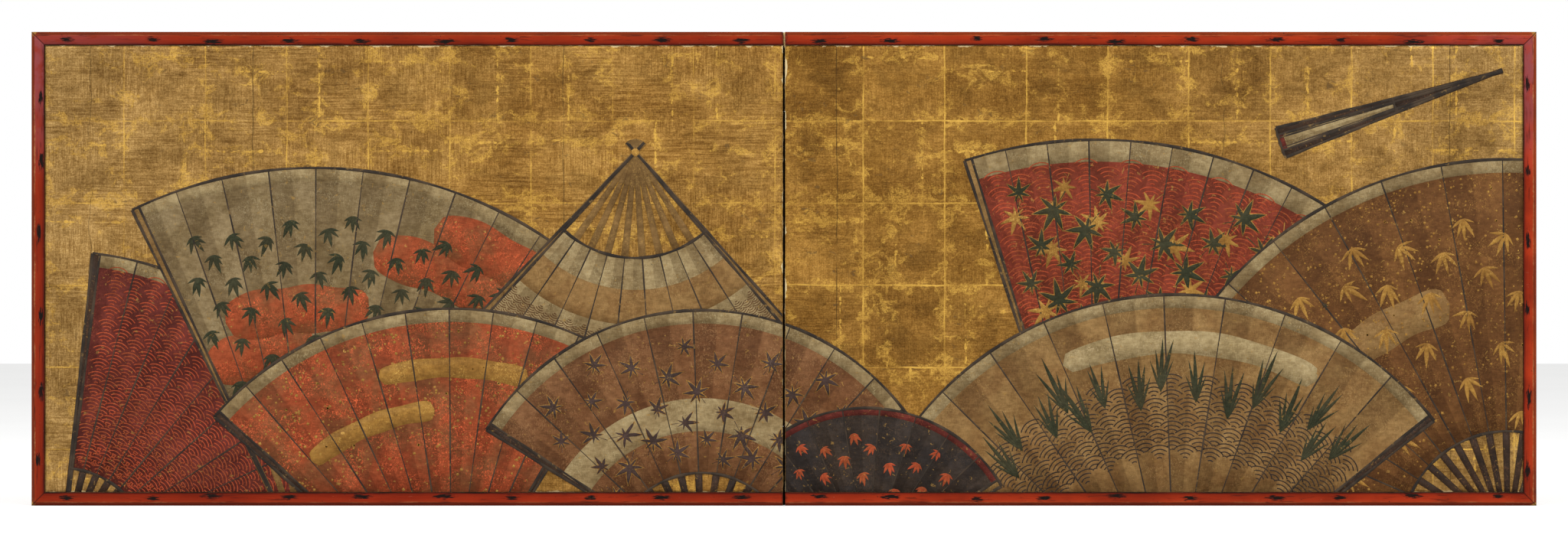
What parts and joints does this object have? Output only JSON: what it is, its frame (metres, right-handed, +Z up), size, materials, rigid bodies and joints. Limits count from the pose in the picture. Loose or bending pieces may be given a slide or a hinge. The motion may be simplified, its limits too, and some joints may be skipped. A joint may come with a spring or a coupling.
{
  "type": "folding screen",
  "caption": "Low folding screen: papered lattice panels with a gilded, painted front and a spotted red lacquer frame, joined by paper hinges that fold both ways.",
  "frame": {"origin": "centre of the footprint on the floor, at the hinge, with the screen opened flat", "axes": "+X to the right along the opened screen, -Y out of the painted side, +Z up"},
  "size_m": [1.924, 0.021, 0.606],
  "materials": {
    "lacquer": "gloss",
    "bamboo": "matte",
    "cedar": "matte",
    "under_paper": "matte",
    "edge_paper": "matte",
    "hinge_paper": "matte",
    "gilt_paper": "satin",
    "back_paper": "matte"
  },
  "bodies": {
    "left_panel": {"left_frame_top_rail": "lacquer", "left_frame_bottom_rail": "lacquer", "left_frame_stile": "lacquer", "left_frame_pegs": "bamboo", "left_core_top_rail": "cedar", "left_core_bottom_rail": "cedar", "left_core_hinge_stile": "cedar", "left_core_outer_stile": "cedar", "left_lattice_uprights": "cedar", "left_lattice_crossbars": "cedar", "left_corner_boards": "cedar", "left_front_lining": "under_paper", "left_back_lining": "under_paper", "left_edge_paper": "edge_paper", "left_leaf_ends": "hinge_paper", "left_painting": "gilt_paper", "left_back_paper": "back_paper"},
    "left_leaves": {"left_hinge_leaves": "hinge_paper"},
    "right_panel": {"right_frame_top_rail": "lacquer", "right_frame_bottom_rail": "lacquer", "right_frame_stile": "lacquer", "right_frame_pegs": "bamboo", "right_core_top_rail": "cedar", "right_core_bottom_rail": "cedar", "right_core_hinge_stile": "cedar", "right_core_outer_stile": "cedar", "right_lattice_uprights": "cedar", "right_lattice_crossbars": "cedar", "right_corner_boards": "cedar", "right_front_lining": "under_paper", "right_back_lining": "under_paper", "right_edge_paper": "edge_paper", "right_leaf_ends": "hinge_paper", "right_painting": "gilt_paper", "right_back_paper": "back_paper"},
    "right_leaves": {"right_hinge_leaves": "hinge_paper"}
  },
  "joints": [
    {"name": "front_fold", "type": "hinge", "parent": "left_leaves", "child": "left_panel", "pos_m": [0, -0.01065, 0], "axis": [0, 0, 1], "range_deg": [0, 180]},
    {"name": "back_fold", "type": "hinge", "parent": "left_leaves", "child": "right_panel", "pos_m": [0, 0.01065, 0], "axis": [0, 0, 1], "range_deg": [0, 180]},
    {"name": "right_leaves_turn", "type": "hinge", "parent": "left_panel", "child": "right_leaves", "pos_m": [0, 0.01065, 0], "axis": [0, 0, 1], "range_deg": [0, 180]}
  ],
  "couplings": [
    {"joint": "right_leaves_turn", "follows": "back_fold", "ratio": 1}
  ]
}
